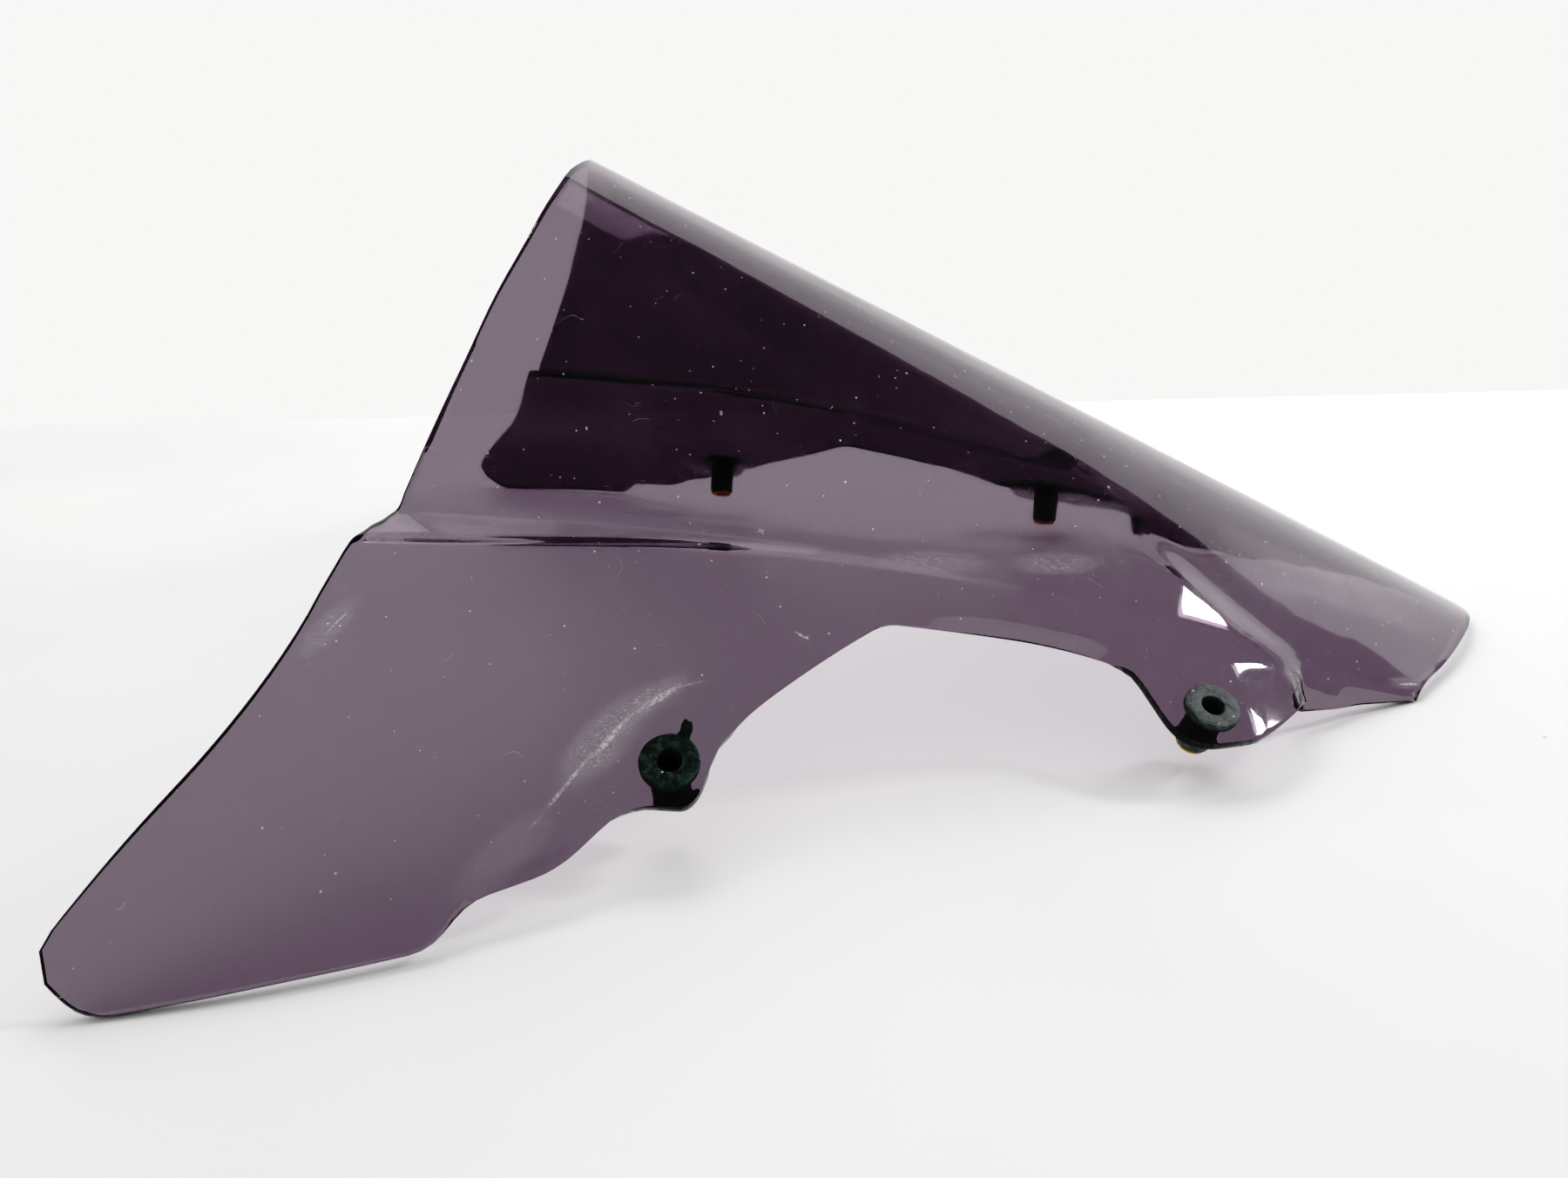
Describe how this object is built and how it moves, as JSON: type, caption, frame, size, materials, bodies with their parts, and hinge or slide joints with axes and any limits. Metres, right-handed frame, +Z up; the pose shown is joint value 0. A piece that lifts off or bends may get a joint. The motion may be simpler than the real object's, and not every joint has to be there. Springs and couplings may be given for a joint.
{
  "type": "motorcycle windshield screen",
  "caption": "Smoke-tinted moulded windshield screen for a sport motorcycle, with a domed bubble, swept rear wings, side tabs and rubber well nuts for its screws.",
  "frame": {"origin": "bottom centre of the bounding box, on the surface the screen stands on", "axes": "+X towards the nose of the motorcycle, +Y to the motorcycle's left, +Z up with the screen standing on its wing tips and nose corners"},
  "size_m": [0.3848, 0.3816, 0.1566],
  "materials": {
    "smoke_acrylic": "polished, see-through smoke tint",
    "rubber_weathered": "weathered matt",
    "rubber_grey": "matt",
    "brass": "machined"
  },
  "bodies": {
    "root": {"screen": "smoke_acrylic", "well_nut_rubber_rear_right": "rubber_weathered", "well_nut_rubber_rear_left": "rubber_weathered", "well_nut_rubber_front_right": "rubber_grey", "well_nut_rubber_front_left": "rubber_grey", "well_nut_insert_rear_right": "brass", "well_nut_insert_rear_left": "brass", "well_nut_insert_front_right": "brass", "well_nut_insert_front_left": "brass"}
  },
  "joints": []
}
